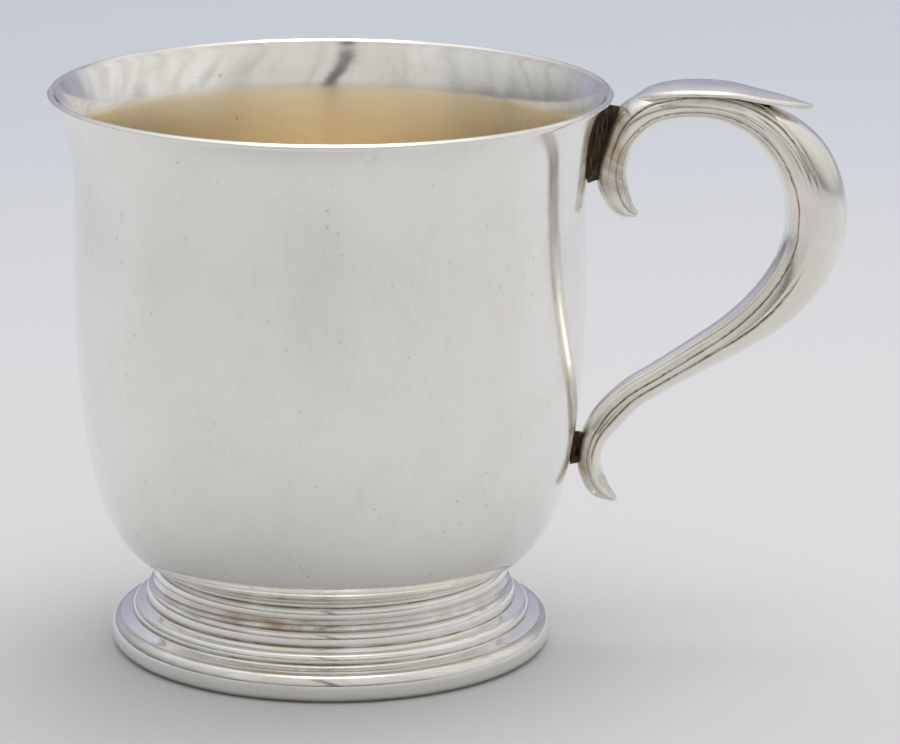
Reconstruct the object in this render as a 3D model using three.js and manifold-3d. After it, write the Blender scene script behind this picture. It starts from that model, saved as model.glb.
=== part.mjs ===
// Silver baby cup: a round-bottomed bowl with a flared lip, a stepped foot
// and a leaf-capped double-scroll handle.
// Millimetres, +Z up, the handle reaches toward +X, the foot rests on z = 0.

import * as THREE from 'three';
import { mergeVertices } from 'three/addons/utils/BufferGeometryUtils.js';
import Module from 'manifold-3d';

const wasm = await Module();
wasm.setup();

// Bowl. Drops are heights below the top of the rim.
const RIM_HEIGHT = 76;
const RIM_RADIUS = 37.5;
const RIM_WIRE_WIDTH = 0.6;
const RIM_WIRE_DEPTH = 0.6;
const WALL_INSET = 3.2;
const WALL_THICKNESS = 0.8;
const NECK_DROP = 12;
const NECK_TUCK = 0.15;
const NECK_BEND = 4.5;
const FLARE_RUN = 1.0;
const FLARE_DROP = 2.7;
const BELLY_HEIGHT = 52;
const BELLY_PULL = 25.1;
const CORNER_PULL = 7.3;
const CORNER_RISE = 1.75;
const FLOOR_SAG = 1.45;
const FLOOR_FLAT_RADIUS = 18;

// Foot. Every radius builds on the seat under the bowl, every height on the table.
const SEAT_RADIUS = 24;
const COLLAR_THICKNESS = 1.3;
const COLLAR_HEIGHT = 0.7;
const COLLAR_STAND = 0.3;
const GROOVE_DEPTH = 0.5;
const BEAD_HEIGHT = 1.67;
const BEAD_STAND = 0.4;
const COVE_INSET = 0.25;
const COVE_SPREAD = 0.5;
const COVE_HEIGHT = 1.43;
const FOOT_SHEET = 0.9;
const FOOT_WIRE_HEIGHT = 3.93;
const FOOT_WIRE_BULGE = 1.4;
const FOOT_LAND_INSET = 0.2;
const FOOT_LAND_WIDTH = 1.4;
const HOLLOW_FALL = 4.5;
const HOLLOW_SPREAD = 3.1;
const HOLLOW_LIFT = 1.1;

// Ridges of the foot from the top down.
const RIDGES = [
  { run: 0.6, height: 1.87, undercut: 0.2 },
  { run: 2.05, height: 1.77, undercut: 0.2 },
  { run: 1.75, height: 0.63, undercut: 0 },
];

// Bends of a ridge, as shares of its run and of its height.
const RIDGE_SLOPE = { run: 0.55, height: 0.2 };
const RIDGE_NOSE = { run: 1.15, height: 0.45 };

// Joints of the handle on the bowl, as drops, and their solder seats.
const UPPER_JOINT_DROP = 7.8;
const LOWER_JOINT_DROP = 49;
const UPPER_SEAT = { height: 11.6, width: 5.7, reach: 4.2, lift: 0.6 };
const LOWER_SEAT = { height: 4.9, width: 4.3, reach: 2.0, lift: -0.3 };
const SEAT_TAPER = { width: 0.45, height: 0.12 };
const SEAT_ROOT = 2.2;

// Handle from the upper scroll's tip to the lower one's: distance out from the
// line through both joints, rise as a share of the way from the lower joint to
// the upper one, depth across the curve, width, and the place of the outer reed
// line as a share of the depth from the inner edge.
const HANDLE_STATIONS = [
  [7.0, 0.774, 0.8, 1.6, 0.62],
  [5.35, 0.799, 2.8, 3.6, 0.63],
  [4.1, 0.842, 3.7, 4.8, 0.65],
  [3.5, 0.915, 3.7, 5.6, 0.66],
  [3.85, 1.0, 4.1, 6.2, 0.66],
  [5.35, 1.075, 4.9, 6.6, 0.67],
  [7.85, 1.121, 4.7, 7.0, 0.73],
  [11.45, 1.138, 4.2, 7.2, 0.82],
  [15.45, 1.138, 4.1, 7.4, 0.87],
  [19.05, 1.121, 4.3, 7.6, 0.86],
  [22.7, 1.085, 5.1, 7.9, 0.78],
  [26.1, 1.029, 6.5, 8.2, 0.64],
  [28.7, 0.956, 7.6, 8.4, 0.55],
  [30.45, 0.864, 8.1, 8.5, 0.50],
  [31.1, 0.767, 8.4, 8.4, 0.46],
  [30.65, 0.672, 8.1, 8.2, 0.45],
  [28.85, 0.568, 7.4, 7.9, 0.46],
  [25.5, 0.466, 6.5, 7.5, 0.50],
  [21.1, 0.381, 5.3, 7.0, 0.54],
  [16.15, 0.306, 4.5, 6.5, 0.56],
  [11.45, 0.235, 4.1, 6.1, 0.58],
  [7.75, 0.177, 4.1, 5.9, 0.58],
  [4.95, 0.107, 4.3, 5.7, 0.58],
  [3.05, 0.039, 3.7, 5.5, 0.58],
  [2.4, -0.034, 3.2, 5.1, 0.58],
  [2.85, -0.095, 3.2, 4.6, 0.60],
  [4.15, -0.146, 2.8, 3.9, 0.60],
  [6.2, -0.182, 0.8, 1.6, 0.60],
];

// The handle's section. The spine is an arc with flutes and the outer reed line
// cut into it. Toward the inner edge come a plain band, the inner reed line and
// a narrow bead.
const SPINE_STEPS = 4;
const SHOULDER_STEPS = 3;
const SHOULDER = 0.25;
const REED_CUT = 0.34;
const REED_HALF_WIDTH = 0.24;
const INNER_REED_INSET = 1.5;
const INNER_REED_SHARE = 0.37;
const BAND_SIDES = [0.95, 0.86];
const INNER_REED_SIDES = [0.8, 0.72];
const BEAD_PROFILE = [[0.5, 0.56], [0.12, 0.3]];

// Flutes of the spine fade out between two shares of the handle's length.
const FLUTE_DEPTH = 0.22;
const FLUTES_FROM = 0.36;
const FLUTES_TO = 0.52;

// Pointed leaf over the top of the handle: its crown's distance out and rise,
// as for the handle, its width and its thickness at the crown.
const LEAF_STATIONS = [
  [5.9, 1.165, 3.2, 1.6],
  [7.95, 1.194, 6.4, 2.0],
  [11.1, 1.211, 8.8, 2.2],
  [14.8, 1.215, 9.6, 2.2],
  [18.8, 1.2075, 9.2, 2.1],
  [22.85, 1.1845, 7.6, 1.8],
  [26.4, 1.155, 4.8, 1.2],
  [29.55, 1.119, 0.6, 0.5],
];
const LEAF_DOME = 0.5;
const LEAF_EDGE = 0.75;
const LEAF_FACETS = [-1, -0.6, -0.25, 0, 0.25, 0.6, 1];

// Facets
const AROUND = 56;
const HANDLE_STEPS = 48;
const LEAF_STEPS = 14;
const BULGE_STEPS = 6;
const BEAD_STEPS = 4;
const COLLAR_STEPS = 4;
const SEAT_CORNERS = 16;

const SILVER = { color: 0xe4e2dc, roughness: 0.22, metalness: 1 };
const CAST_SILVER = { color: 0xdedbd3, roughness: 0.26, metalness: 1 };
const SOLDER = { color: 0x4a4036, roughness: 0.5, metalness: 1 };

const sum = (values) => values.reduce((total, value) => total + value, 0);
const point = (radius, height) => new THREE.Vector2(radius, height);

// Heights and radii that follow from the sizes above.
const coveBase = FOOT_WIRE_HEIGHT + sum(RIDGES.map((ridge) => ridge.height));
const collarBase = coveBase + COVE_HEIGHT + BEAD_HEIGHT;
const seatHeight = collarBase + COLLAR_HEIGHT;
const grooveRadius = SEAT_RADIUS - GROOVE_DEPTH;
const coveRadius = SEAT_RADIUS - COVE_INSET;
const ridgeRadius = SEAT_RADIUS + COVE_SPREAD;
const footRadius = ridgeRadius + sum(RIDGES.map((ridge) => ridge.run - ridge.undercut));
const wallRadius = RIM_RADIUS - WALL_INSET;
const lipRadius = RIM_RADIUS - RIM_WIRE_WIDTH;

// Meshes and solids

function toManifold(geometry) {
  const bare = new THREE.BufferGeometry();
  bare.setAttribute('position', geometry.getAttribute('position').clone());
  bare.setIndex(geometry.getIndex());
  const welded = mergeVertices(bare, 1e-4);
  const triVerts = [];
  const index = welded.getIndex().array;
  for (let i = 0; i < index.length; i += 3) {
    const [a, b, c] = [index[i], index[i + 1], index[i + 2]];
    if (a !== b && b !== c && c !== a) triVerts.push(a, b, c);
  }
  return new wasm.Manifold(new wasm.Mesh({
    numProp: 3,
    vertProperties: new Float32Array(welded.getAttribute('position').array),
    triVerts: new Uint32Array(triVerts),
  }));
}

function toMesh(solid, name, look) {
  const { vertProperties, triVerts } = solid.getMesh();
  const geometry = new THREE.BufferGeometry();
  geometry.setAttribute('position', new THREE.BufferAttribute(vertProperties, 3));
  geometry.setIndex(new THREE.BufferAttribute(triVerts, 1));
  geometry.computeVertexNormals();
  const mesh = new THREE.Mesh(geometry, new THREE.MeshStandardMaterial(look));
  mesh.name = name;
  return mesh;
}

// Spins a closed outline of radius and height about the cup's axis.
function turned(outline) {
  const loop = THREE.ShapeUtils.area(outline) > 0 ? outline : [...outline].reverse();
  const onAxis = loop.findIndex((p, i) => p.x === 0 && loop[(i + loop.length - 1) % loop.length].x === 0);
  const start = Math.max(onAxis, 0);
  const ordered = [...loop.slice(start), ...loop.slice(0, start)];
  if (onAxis < 0) ordered.push(ordered[0].clone());
  const geometry = new THREE.LatheGeometry(ordered, AROUND);
  geometry.rotateX(Math.PI / 2);
  return toManifold(geometry);
}

// Skins closed rings of equal length, capped at both ends.
function skinned(rings) {
  const size = rings[0].length;
  const positions = rings.flat().flatMap((p) => [p.x, p.y, p.z]);
  const index = [];
  for (let r = 0; r + 1 < rings.length; r += 1) {
    for (let i = 0; i < size; i += 1) {
      const a = r * size + i;
      const b = r * size + ((i + 1) % size);
      index.push(a, b, b + size, a, b + size, a + size);
    }
  }
  const last = (rings.length - 1) * size;
  for (let i = 1; i + 1 < size; i += 1) {
    index.push(0, i + 1, i);
    index.push(last, last + i, last + i + 1);
  }
  const geometry = new THREE.BufferGeometry();
  geometry.setAttribute('position', new THREE.Float32BufferAttribute(positions, 3));
  geometry.setIndex(index);
  return toManifold(geometry);
}

// Outline of a half-round moulding from one point to another, both left out.
function bulge(from, to, stand, steps) {
  const outline = [];
  for (let i = 1; i < steps; i += 1) {
    const angle = (i * Math.PI) / steps;
    const middle = from.clone().lerp(to, (1 - Math.cos(angle)) / 2);
    outline.push(point(middle.x + stand * Math.sin(angle), middle.y));
  }
  return outline;
}

// Bowl

const floorCurve = new THREE.QuadraticBezierCurve(
  point(0, seatHeight - FLOOR_SAG),
  point(FLOOR_FLAT_RADIUS, seatHeight - FLOOR_SAG),
  point(SEAT_RADIUS, seatHeight),
);

const cornerCurve = new THREE.CubicBezierCurve(
  point(SEAT_RADIUS, seatHeight),
  point(SEAT_RADIUS + CORNER_PULL, seatHeight + CORNER_RISE),
  point(wallRadius, BELLY_HEIGHT - BELLY_PULL),
  point(wallRadius, BELLY_HEIGHT),
);

const neck = point(wallRadius - NECK_TUCK, RIM_HEIGHT - NECK_DROP);
const flareCurve = new THREE.CubicBezierCurve(
  neck,
  point(neck.x, neck.y + NECK_BEND),
  point(lipRadius - FLARE_RUN, RIM_HEIGHT - FLARE_DROP),
  point(lipRadius, RIM_HEIGHT - WALL_THICKNESS),
);

const floorPoints = floorCurve.getPoints(4);
const bowlOutside = [
  ...floorPoints,
  ...cornerCurve.getPoints(10).slice(1),
  ...flareCurve.getPoints(5),
];

// Radius of the bowl's outside at a height above its seat.
function bowlRadiusAt(height) {
  const above = bowlOutside.findIndex((p) => p.y > height);
  const [low, high] = bowlOutside.slice(above - 1, above + 1);
  return low.clone().lerp(high, (height - low.y) / (high.y - low.y)).x;
}

// Moves each point of an open outline inward across the sheet.
function sheetInside(outside, thickness) {
  return outside.map((p, i) => {
    const before = outside[Math.max(i - 1, 0)];
    const after = outside[Math.min(i + 1, outside.length - 1)];
    const along = after.clone().sub(before).normalize();
    const radius = p.x === 0 ? 0 : p.x - along.y * thickness;
    return point(radius, p.y + along.x * thickness);
  });
}

function bowl() {
  const inside = sheetInside(bowlOutside, WALL_THICKNESS);
  inside[inside.length - 1] = point(lipRadius, RIM_HEIGHT);
  return turned([...bowlOutside, ...inside.reverse()]);
}

// The bowl without its hollow, for fitting parts against its outside.
function bowlPlug() {
  return turned([...bowlOutside, point(0, RIM_HEIGHT)]);
}

// Half-round wire around the edge of the lip.
function rimWire() {
  const low = point(lipRadius, RIM_HEIGHT - RIM_WIRE_DEPTH);
  const high = point(lipRadius, RIM_HEIGHT);
  return turned([low, ...bulge(low, high, RIM_WIRE_WIDTH, BULGE_STEPS), high]);
}

// Foot

// Thin round-edged ring between the bowl and the foot, cut to the slope of the floor.
function footCollar() {
  const low = point(grooveRadius, collarBase);
  const high = point(SEAT_RADIUS, seatHeight);
  const outline = [low, ...bulge(low, high, COLLAR_STAND, COLLAR_STEPS), high];
  const [slopeIn, slopeOut] = floorPoints.slice(-2);
  const share = (SEAT_RADIUS - COLLAR_THICKNESS - slopeIn.x) / (slopeOut.x - slopeIn.x);
  const seatInside = slopeIn.clone().lerp(slopeOut, share);
  return turned([...outline, seatInside, point(seatInside.x, collarBase)]);
}

// One ridge of the foot: slopes out to its nose and turns down to the next.
function ridgeCurve(top, { run, height, undercut }) {
  return new THREE.CubicBezierCurve(
    top,
    point(top.x + run * RIDGE_SLOPE.run, top.y - height * RIDGE_SLOPE.height),
    point(top.x + run * RIDGE_NOSE.run, top.y - height * RIDGE_NOSE.height),
    point(top.x + run - undercut, top.y - height),
  );
}

// Spreading foot: a bead, a cove and the ridges, open underneath.
function footShell() {
  const top = point(grooveRadius, collarBase);
  const coveTop = point(coveRadius, coveBase + COVE_HEIGHT);
  const coveEnd = point(ridgeRadius, coveBase);
  const cove = new THREE.QuadraticBezierCurve(coveTop, point(coveTop.x, coveEnd.y), coveEnd);
  const outline = [top, ...bulge(top, coveTop, BEAD_STAND, BEAD_STEPS), ...cove.getPoints(3)];
  for (const ridge of RIDGES) {
    const above = outline[outline.length - 1];
    outline.push(...ridgeCurve(above, ridge).getPoints(4).slice(1));
  }
  const hollowTop = point(grooveRadius - FOOT_SHEET, collarBase);
  const hollowEnd = point(footRadius - FOOT_SHEET, FOOT_WIRE_HEIGHT);
  const hollow = new THREE.CubicBezierCurve(
    hollowTop,
    point(hollowTop.x, hollowTop.y - HOLLOW_FALL),
    point(hollowEnd.x - HOLLOW_SPREAD, hollowEnd.y + HOLLOW_LIFT),
    hollowEnd,
  );
  return turned([...outline, ...hollow.getPoints(6).reverse()]);
}

// Heavy bead under the foot, with the flat land that the cup rests on.
function footWire() {
  const landOut = point(footRadius - FOOT_LAND_INSET, 0);
  const landIn = point(landOut.x - FOOT_LAND_WIDTH, 0);
  const seatOut = point(footRadius, FOOT_WIRE_HEIGHT);
  const seatIn = point(footRadius - FOOT_SHEET, FOOT_WIRE_HEIGHT);
  return turned([
    landOut,
    ...bulge(landOut, seatOut, FOOT_WIRE_BULGE, BULGE_STEPS),
    seatOut,
    seatIn,
    ...bulge(seatIn, landIn, -FOOT_WIRE_BULGE, BEAD_STEPS),
    landIn,
  ]);
}

// Handle

const upperJoint = point(wallRadius - NECK_TUCK, RIM_HEIGHT - UPPER_JOINT_DROP);
const lowerJoint = point(bowlRadiusAt(RIM_HEIGHT - LOWER_JOINT_DROP), RIM_HEIGHT - LOWER_JOINT_DROP);

// A point beside the bowl, from its distance out and its rise between the joints.
function beside(out, rise) {
  const onLine = point(
    THREE.MathUtils.lerp(lowerJoint.x, upperJoint.x, rise),
    THREE.MathUtils.lerp(lowerJoint.y, upperJoint.y, rise),
  );
  return point(onLine.x + out, onLine.y);
}

const handlePath = new THREE.SplineCurve(HANDLE_STATIONS.map(([out, rise]) => beside(out, rise)));
const handleSize = new THREE.SplineCurve(HANDLE_STATIONS.map(([, , depth, width]) => point(depth, width)));
const reedPlace = new THREE.SplineCurve(HANDLE_STATIONS.map(([, , , , reed], i) => point(reed, i)));
const leafPath = new THREE.SplineCurve(LEAF_STATIONS.map(([out, rise]) => beside(out, rise)));
const leafSize = new THREE.SplineCurve(LEAF_STATIONS.map(([, , width, thick]) => point(width, thick)));

// Places a section across a path: x is its distance off the path, y to the side.
function ringAt(path, share, section) {
  const middle = path.getPoint(share);
  const along = path.getTangent(share);
  return section.map((p) => new THREE.Vector3(
    middle.x - along.y * p.x,
    -p.y,
    middle.y + along.x * p.x,
  ));
}

function fluteAt(share) {
  if (share < FLUTES_FROM || share > FLUTES_TO) return 0;
  return FLUTE_DEPTH * (1 - (share - FLUTES_FROM) / (FLUTES_TO - FLUTES_FROM));
}

// Closed section from the middle of the spine round to itself.
function handleSection(depth, width, reed, flute) {
  const inner = -depth / 2;
  const innerReed = inner + Math.min(INNER_REED_INSET, depth * INNER_REED_SHARE);
  const shoulder = THREE.MathUtils.lerp(innerReed, depth / 2, SHOULDER);
  const radius = depth / 2 - shoulder;
  const onArc = (angle, sunk) => point(
    shoulder + (radius - sunk) * Math.cos(angle),
    (width / 2 - sunk) * Math.sin(angle),
  );
  const toReed = THREE.MathUtils.clamp((inner + depth * reed - shoulder) / radius, 0.1, 0.95);
  const reedAngle = Math.acos(toReed);
  const reedHalf = Math.min(REED_HALF_WIDTH / depth, reedAngle / 2) * 2;
  const cut = Math.min(REED_CUT, width / 14);
  const half = [];
  for (let i = 0; i <= SPINE_STEPS; i += 1) {
    half.push(onArc(((reedAngle - reedHalf) * i) / SPINE_STEPS, i % 2 === 1 ? flute : 0));
  }
  half.push(onArc(reedAngle, cut));
  for (let i = 0; i <= SHOULDER_STEPS; i += 1) {
    const angle = THREE.MathUtils.lerp(reedAngle + reedHalf, Math.PI / 2, i / SHOULDER_STEPS);
    half.push(onArc(Math.min(angle, Math.PI / 2 - 0.01 * (SHOULDER_STEPS - i)), i % 2 === 1 ? flute : 0));
  }
  const [bandSide, bandEnd] = BAND_SIDES;
  const [reedSide, beadSide] = INNER_REED_SIDES;
  half.push(point(THREE.MathUtils.lerp(shoulder, innerReed, 0.5), (bandSide * width) / 2));
  half.push(point(innerReed + cut / 2, (bandEnd * width) / 2));
  half.push(point(innerReed, (reedSide * width) / 2 - cut));
  half.push(point(innerReed - cut / 2, (beadSide * width) / 2));
  for (const [up, side] of BEAD_PROFILE) {
    half.push(point(THREE.MathUtils.lerp(inner, innerReed, up), (side * width) / 2));
  }
  const mirrored = half.slice(1).reverse().map((p) => point(p.x, -p.y));
  return [...half, point(inner, 0), ...mirrored];
}

function handle() {
  const rings = [];
  for (let step = 0; step <= HANDLE_STEPS; step += 1) {
    const share = step / HANDLE_STEPS;
    const size = handleSize.getPoint(share);
    const reed = reedPlace.getPoint(share).x;
    rings.push(ringAt(handlePath, share, handleSection(size.x, size.y, reed, fluteAt(share))));
  }
  return skinned(rings);
}

const leafWidest = Math.max(...LEAF_STATIONS.map(([, , width]) => width));

// Closed section of the leaf: domed over the crown, keeled underneath.
function leafSection(width, thick) {
  const edge = Math.min(LEAF_EDGE, thick);
  const dome = (LEAF_DOME * width) / leafWidest;
  const keel = thick - dome - edge;
  const crown = LEAF_FACETS.map((side) => point(-dome * side * side, (side * width) / 2));
  const under = LEAF_FACETS.map((side) => (
    point(-dome - edge - keel * (1 - Math.abs(side)), (side * width) / 2)
  ));
  return [...crown, ...under.reverse()];
}

function leafBlank() {
  const rings = [];
  for (let step = 0; step <= LEAF_STEPS; step += 1) {
    const share = step / LEAF_STEPS;
    const size = leafSize.getPoint(share);
    rings.push(ringAt(leafPath, share, leafSection(size.x, size.y)));
  }
  return skinned(rings);
}

// Pillow of solder from inside the bowl's wall to the scroll, widest at the wall.
function seatBlank(joint, seat) {
  const outs = [-SEAT_ROOT, 0, seat.reach / 3, (seat.reach * 2) / 3, seat.reach];
  return skinned(outs.map((out) => {
    const away = Math.sqrt(Math.max(out, 0) / seat.reach);
    const width = seat.width * (1 - SEAT_TAPER.width * away);
    const height = seat.height * (1 - SEAT_TAPER.height * away);
    const ring = [];
    for (let i = 0; i < SEAT_CORNERS; i += 1) {
      const angle = (2 * Math.PI * i) / SEAT_CORNERS;
      ring.push(new THREE.Vector3(
        joint.x + out,
        (Math.cos(angle) * width) / 2,
        joint.y + seat.lift + (Math.sin(angle) * height) / 2,
      ));
    }
    return ring;
  }));
}

// Assembly

const handleSolid = handle();
const plug = bowlPlug();
const leafSolid = leafBlank().subtract(handleSolid);
const upperSeat = seatBlank(upperJoint, UPPER_SEAT).subtract(plug).subtract(handleSolid);
const lowerSeat = seatBlank(lowerJoint, LOWER_SEAT).subtract(plug).subtract(handleSolid);

const cup = new THREE.Group();
cup.name = 'baby_cup';
cup.add(
  toMesh(bowl(), 'bowl', SILVER),
  toMesh(rimWire(), 'rim_wire', SILVER),
  toMesh(footCollar(), 'foot_collar', SILVER),
  toMesh(footShell(), 'foot_shell', SILVER),
  toMesh(footWire(), 'foot_wire', SILVER),
  toMesh(handleSolid, 'handle', CAST_SILVER),
  toMesh(leafSolid, 'thumb_leaf', CAST_SILVER),
  toMesh(upperSeat, 'upper_seat', SOLDER),
  toMesh(lowerSeat, 'lower_seat', SOLDER),
);

// The origin stands under the middle of the whole, bowl and handle together.
const whole = new THREE.Box3().setFromObject(cup);
cup.position.x = -(whole.min.x + whole.max.x) / 2;

export default cup;
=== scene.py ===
"""Silver baby cup: spun bowl with a flared lip, stepped foot, leaf-capped double-scroll handle."""

import math

import bmesh
import bpy
from mathutils import Matrix, Vector, noise


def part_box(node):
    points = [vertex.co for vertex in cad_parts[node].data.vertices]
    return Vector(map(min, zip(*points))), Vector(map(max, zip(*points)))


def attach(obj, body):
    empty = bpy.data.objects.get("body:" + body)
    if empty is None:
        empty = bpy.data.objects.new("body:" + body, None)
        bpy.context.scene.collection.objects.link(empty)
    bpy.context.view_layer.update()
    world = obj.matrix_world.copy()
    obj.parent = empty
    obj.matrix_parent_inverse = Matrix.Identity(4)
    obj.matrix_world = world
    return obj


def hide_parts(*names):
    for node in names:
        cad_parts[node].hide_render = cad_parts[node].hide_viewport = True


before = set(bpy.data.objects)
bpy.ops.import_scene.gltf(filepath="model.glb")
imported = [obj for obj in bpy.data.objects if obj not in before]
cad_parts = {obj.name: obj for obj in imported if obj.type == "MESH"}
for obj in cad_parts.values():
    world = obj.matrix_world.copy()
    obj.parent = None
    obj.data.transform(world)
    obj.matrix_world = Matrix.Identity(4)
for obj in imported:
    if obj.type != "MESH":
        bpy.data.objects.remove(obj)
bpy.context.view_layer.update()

MM = 0.001

# Sizes that the frame gives, in millimetres.


def box_mm(node):
    low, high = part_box(node)
    return [value / MM for value in low], [value / MM for value in high]


bowl_low, bowl_high = box_mm("bowl")
wire_low, wire_high = box_mm("rim_wire")
collar_low, collar_high = box_mm("foot_collar")
shell_low, shell_high = box_mm("foot_shell")
bead_low, bead_high = box_mm("foot_wire")
SOLDER_BOXES = [box_mm("upper_seat"), box_mm("lower_seat")]

AXIS_X = (bowl_low[0] + bowl_high[0]) / 2
RIM_HEIGHT = bowl_high[2]
LIP_RADIUS = (bowl_high[0] - bowl_low[0]) / 2
WIRE_RADIUS = (wire_high[0] - wire_low[0]) / 2
WIRE_LOW = wire_low[2]
COLLAR_RADIUS = (collar_high[0] - collar_low[0]) / 2
SEAT_HEIGHT = collar_high[2]
COLLAR_BASE = collar_low[2]
SHELL_BASE = shell_low[2]
BEAD_RADIUS = (bead_high[0] - bead_low[0]) / 2
BEAD_TOP = bead_high[2]

# Bowl
WALL_RADIUS = WIRE_RADIUS - 3.2
WALL_THICKNESS = 0.8
LIP_THICKNESS = 0.5

# Drops from the rim between which the sheet thins to the lip.
LIP_TAPER = (6.5, 0.6)

# Inner edge of the lip and outer facet of its wire: inset from the widest point
# and drop from the rim.
LIP_EDGE = [(0.45, 0.55), (0.35, 0.36), (0.3, 0.275), (0.28, 0.257), (0.02, 0.018), (0.0, 0.0)]
LIP_FACET = [(0.03, 0.32), (0.05, 0.302), (0.33, 0.04), (0.35, 0.022)]
LIP_ROUND = 0.4
LIP_KNEE = 0.3
LIP_ROOT_SOIL = 0.6

NECK_HEIGHT = RIM_HEIGHT - 15.7
NECK_TUCK = 0.15
NECK_BEND = 9.25
FLARE_RUN = 1.69
FLARE_DROP = 3.48
BELLY_HEIGHT = 52
BELLY_PULL = 25.1
CORNER_PULL = 7.3
CORNER_RISE = 1.75
FLOOR_SAG = 1.45
FLOOR_FLAT_RADIUS = 18

# Foot
SEAT_RADIUS = COLLAR_RADIUS - 0.14
COLLAR_STAND = 0.3
COLLAR_THICKNESS = 1.3
GROOVE_RADIUS = SEAT_RADIUS - 0.5
COVE_RADIUS = SEAT_RADIUS - 0.25
RIDGE_RADIUS = SEAT_RADIUS + 0.5
BEAD_STAND = 0.4
COVE_HEIGHT = 1.43
FOOT_SHEET = 0.9
FOOT_WIRE_BULGE = 1.4
FOOT_LAND_INSET = 0.2
FOOT_LAND_WIDTH = 1.4
FOOT_RADIUS = BEAD_RADIUS - FOOT_WIRE_BULGE + FOOT_LAND_INSET / 2

# Deeper tarnish on one side of the foot: its middle, spread and gain.
FOOT_STAIN = (math.radians(252), math.radians(22), 1.5)

# Ridges from the cove down: corner and nose are shares of the run and the height
# where the slope turns into the nose and where the nose ends.
RIDGES = [
    {"run": 0.6, "height": 1.87, "undercut": 0.2, "corner": (0.5, 0.13), "nose": 0.75},
    {"run": 2.05, "height": 1.77, "undercut": 0.2, "corner": (0.71, 0.26), "nose": 0.81},
    {"run": 1.75, "height": 0.63, "undercut": 0.0, "corner": (0.9, 0.86), "nose": 0.98},
]

# Handle from the upper scroll's tip to the lower one's: distance from the cup's
# axis, height, depth across the curve, width, and the outer reed line's place as
# a share of the depth from the inner edge.
HANDLE_STATIONS = [
    (40.8, 58.9, 0.8, 1.6, 0.62),
    (39.2, 59.9, 2.8, 3.6, 0.63),
    (38.0, 61.7, 3.7, 4.8, 0.65),
    (37.3, 64.7, 4.1, 5.6, 0.66),
    (38.0, 68.2, 4.1, 6.2, 0.66),
    (39.6, 71.3, 4.9, 6.6, 0.67),
    (42.2, 73.2, 4.7, 7.0, 0.73),
    (45.8, 73.9, 4.2, 7.2, 0.82),
    (49.8, 73.9, 4.1, 7.4, 0.87),
    (53.4, 73.2, 4.3, 7.6, 0.86),
    (57.0, 71.7, 5.1, 7.9, 0.78),
    (60.3, 69.4, 6.5, 8.2, 0.64),
    (62.8, 66.4, 7.6, 8.4, 0.55),
    (64.4, 62.6, 8.1, 8.5, 0.50),
    (64.88, 58.6, 8.36, 8.4, 0.46),
    (64.3, 54.7, 8.1, 8.2, 0.45),
    (62.3, 50.4, 7.4, 7.9, 0.46),
    (58.8, 46.2, 6.5, 7.5, 0.50),
    (54.3, 42.7, 5.3, 7.0, 0.54),
    (49.2, 39.6, 4.5, 6.5, 0.56),
    (44.4, 36.7, 4.1, 6.1, 0.58),
    (40.6, 34.3, 4.1, 5.9, 0.58),
    (37.7, 31.4, 4.3, 5.7, 0.58),
    (35.7, 28.6, 3.7, 5.5, 0.58),
    (34.9, 25.6, 3.2, 5.1, 0.58),
    (35.3, 23.1, 3.2, 4.6, 0.60),
    (36.5, 21.0, 2.8, 3.9, 0.60),
    (38.5, 19.5, 0.8, 1.6, 0.60),
]

# The handle's section runs from the spine's middle round to the inner edge.
SHOULDER = 0.25
INNER_REED_INSET = 1.5
INNER_REED_SHARE = 0.37
BAND_SIDES = (0.975, 0.93, 0.865)
BEAD_SIDES = (0.76, 0.66, 0.5, 0.28)
SECTION_POINTS = 130
REED_DEPTH = 0.3
REED_HALF_WIDTH = 0.22

# Shares of the handle's length between which the outer reed line is missing, and
# between which the flutes come in and die out.
REED_GAP = (0.40, 0.47, 0.56, 0.64)
REED_ENDS = (0.10, 0.16, 0.86, 0.93)
FLUTE_FADE = (0.32, 0.37, 0.41, 0.51)
FLUTE_INSETS = (2.1, 4.9)
FLUTE_PITCH = 0.7
FLUTE_DEPTH = 0.1

# Tarnish of the scrolls beside their solder, and how far past it that reaches.
JOINT_SOIL = 0.85
JOINT_SOIL_REACH = 1.6

# Pointed leaf: distance out, crown height, width and thickness.
LEAF_STATIONS = [
    (40.3, 75.0, 3.2, 1.6),
    (42.4, 76.2, 6.4, 2.0),
    (45.6, 76.9, 8.8, 2.2),
    (49.3, 77.05, 9.6, 2.2),
    (53.3, 76.75, 9.2, 2.1),
    (57.3, 75.8, 7.6, 1.8),
    (60.8, 74.95, 4.8, 1.2),
    (64.1, 73.9, 0.6, 0.5),
]
LEAF_DOME = 0.5
LEAF_EDGE = 0.75
LEAF_BEVEL = 0.5
LEAF_CHAMFER = 0.46
LEAF_HALF = 12

# Shallow dish for the thumb: middle, half length, half width and depth.
LEAF_DISH = (50.5, 4.2, 2.4, 0.12)

# Solder: how it narrows from the bowl's wall to the scroll, how far it goes into
# the wall, and how far it stands out at least.
SOLDER_NARROWING = (0.82, 0.4)
SOLDER_SINK = 0.3
SOLDER_STAND = 0.4
SOLDER_UPPER_DRAW = 0.08

AROUND = 320
HANDLE_STEPS = 280
LEAF_STEPS = 90
SOLDER_STEPS = 24
SOLDER_AROUND = 96


# Meshes


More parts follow.
